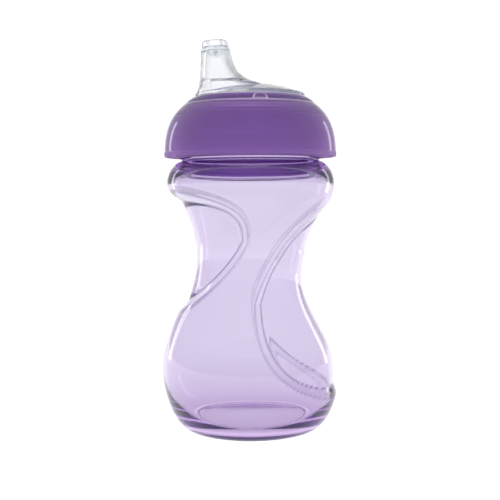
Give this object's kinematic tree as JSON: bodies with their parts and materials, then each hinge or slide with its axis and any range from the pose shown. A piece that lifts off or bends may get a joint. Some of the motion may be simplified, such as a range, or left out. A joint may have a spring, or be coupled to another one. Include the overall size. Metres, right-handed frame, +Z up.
{
  "type": "sippy cup",
  "caption": "Toddler sippy cup: tinted hourglass bottle with recessed grip panels, threaded screw lid and a soft off-centre spout with a slit valve.",
  "frame": {"origin": "centre of the foot ring, in the plane that the cup stands on", "axes": "+Z up along the bottle's axis; the spout is off-centre towards -X; the XZ plane is the plane of symmetry of the bottle and the spout"},
  "size_m": [0.0777, 0.0794, 0.1697],
  "materials": {
    "bottle_plastic": "clear, lightly tinted lavender, polished",
    "lid_plastic": "translucent deep purple, polished",
    "spout_silicone": "clear silicone, soft gloss"
  },
  "bodies": {
    "bottle": {"bottle": "bottle_plastic"},
    "spout": {"spout": "spout_silicone"},
    "lid": {"lid": "lid_plastic"}
  },
  "joints": [
    {"name": "lid_rise", "type": "slide", "parent": "bottle", "child": "spout", "axis": [0, 0, 1], "range_m": [0, 0.0068]},
    {"name": "lid_turn", "type": "hinge", "parent": "spout", "child": "lid", "pos_m": [0, 0, 0.13], "axis": [0, 0, 1], "range_deg": [0, 540]}
  ],
  "couplings": [
    {"joint": "lid_rise", "follows": "lid_turn", "m_per_rad": 0.0007162}
  ]
}
